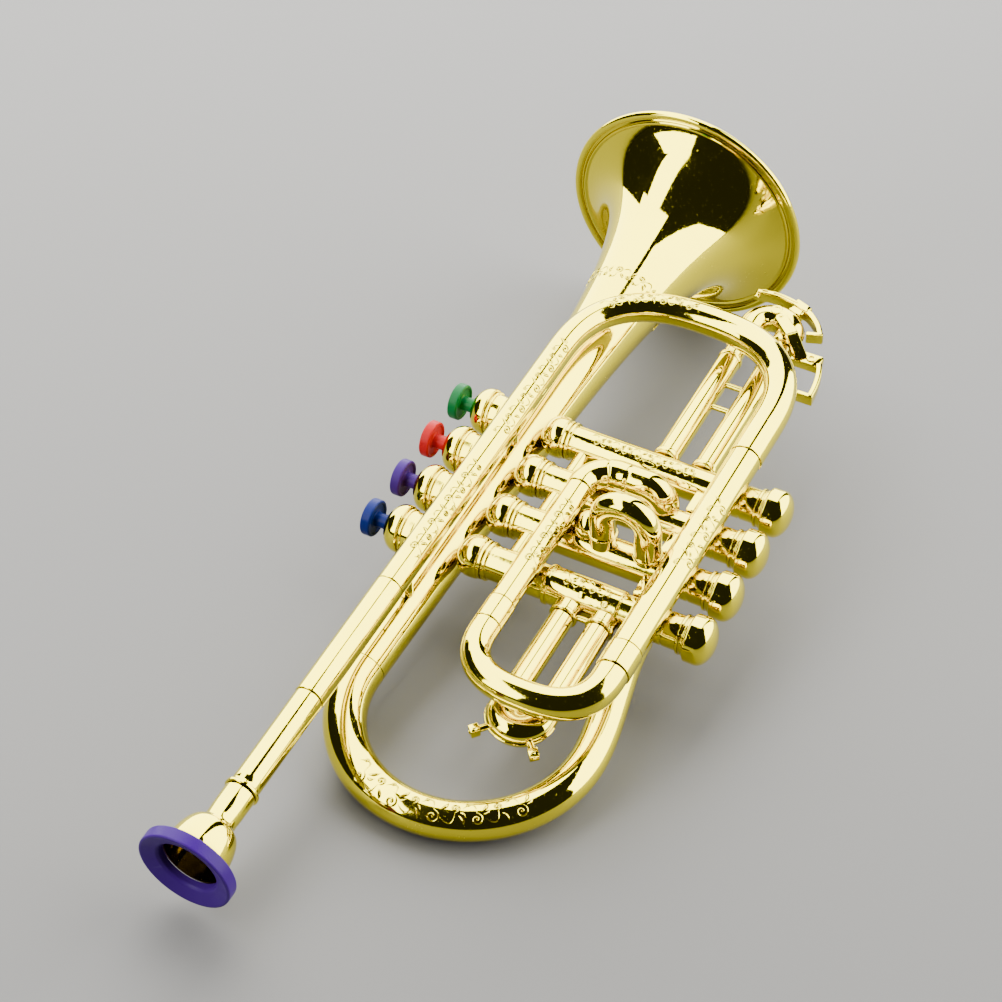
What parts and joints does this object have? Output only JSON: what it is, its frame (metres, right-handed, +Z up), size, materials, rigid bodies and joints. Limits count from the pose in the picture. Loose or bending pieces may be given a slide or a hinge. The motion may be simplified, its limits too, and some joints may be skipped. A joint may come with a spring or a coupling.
{
  "type": "toy trumpet",
  "caption": "Plated toy trumpet with flared bell, coiled tubes, sprung coloured valve buttons and a coloured mouthpiece ring, lying flat on its bell rim and rear bow.",
  "frame": {"origin": "centre of the footprint of the resting toy, on the table", "axes": "+X from the mouthpiece to the bell, level; +Y towards the push buttons; +Z up. The playing axis is pitched about Y, bell end up."},
  "size_m": [0.3736, 0.1528, 0.0969],
  "materials": {
    "gold_plating": "mirror-bright metallised ABS in pale gold",
    "reed_brass": "rolled sheet",
    "spring_steel": "drawn wire",
    "pad_rubber": "matt",
    "white_plastic": "moulded",
    "purple_plastic": "satin moulded",
    "green_plastic": "satin moulded",
    "red_plastic": "satin moulded",
    "blue_plastic": "satin moulded"
  },
  "bodies": {
    "instrument": {"mouthpiece_rim": "purple_plastic", "mouthpiece_cup": "gold_plating", "receiver": "gold_plating", "middle_pipe": "gold_plating", "lead_pipe": "gold_plating", "upper_bend": "gold_plating", "return_tube": "gold_plating", "short_tube": "gold_plating", "lower_bend": "gold_plating", "small_bend": "gold_plating", "bell": "gold_plating", "rear_bow": "gold_plating", "second_slide": "gold_plating", "front_slide_sleeves": "gold_plating", "front_slide": "gold_plating", "front_hook": "gold_plating", "side_hook": "gold_plating", "rear_slide_bosses": "gold_plating", "rear_slide": "gold_plating", "lead_prop_1": "gold_plating", "lead_prop_2": "gold_plating", "valve_casing_1": "gold_plating", "bottom_cap_1": "gold_plating", "button_cap_1": "gold_plating", "cap_neck_1": "gold_plating", "reed_plate_1": "white_plastic", "reed_1": "reed_brass", "return_spring_1": "spring_steel", "valve_casing_2": "gold_plating", "bottom_cap_2": "gold_plating", "button_cap_2": "gold_plating", "cap_neck_2": "gold_plating", "reed_plate_2": "white_plastic", "reed_2": "reed_brass", "return_spring_2": "spring_steel", "valve_casing_3": "gold_plating", "bottom_cap_3": "gold_plating", "button_cap_3": "gold_plating", "cap_neck_3": "gold_plating", "reed_plate_3": "white_plastic", "reed_3": "reed_brass", "return_spring_3": "spring_steel", "valve_casing_4": "gold_plating", "bottom_cap_4": "gold_plating", "button_cap_4": "gold_plating", "cap_neck_4": "gold_plating", "reed_plate_4": "white_plastic", "reed_4": "reed_brass", "return_spring_4": "spring_steel"},
    "green_button": {"button_green": "green_plastic", "valve_pad_1": "pad_rubber"},
    "red_button": {"button_red": "red_plastic", "valve_pad_2": "pad_rubber"},
    "purple_button": {"button_purple": "purple_plastic", "valve_pad_3": "pad_rubber"},
    "blue_button": {"button_blue": "blue_plastic", "valve_pad_4": "pad_rubber"}
  },
  "joints": [
    {"name": "green_button_press", "type": "slide", "parent": "instrument", "child": "green_button", "axis": [0, -1, 0], "range_m": [0, 0.0034], "stiffness_N_per_m": 300, "springref_m": -0.0015, "deforming": ["return_spring_1"]},
    {"name": "red_button_press", "type": "slide", "parent": "instrument", "child": "red_button", "axis": [0, -1, 0], "range_m": [0, 0.0034], "stiffness_N_per_m": 300, "springref_m": -0.0015, "deforming": ["return_spring_2"]},
    {"name": "purple_button_press", "type": "slide", "parent": "instrument", "child": "purple_button", "axis": [0, -1, 0], "range_m": [0, 0.0034], "stiffness_N_per_m": 300, "springref_m": -0.0015, "deforming": ["return_spring_3"]},
    {"name": "blue_button_press", "type": "slide", "parent": "instrument", "child": "blue_button", "axis": [0, -1, 0], "range_m": [0, 0.0034], "stiffness_N_per_m": 300, "springref_m": -0.0015, "deforming": ["return_spring_4"]}
  ]
}
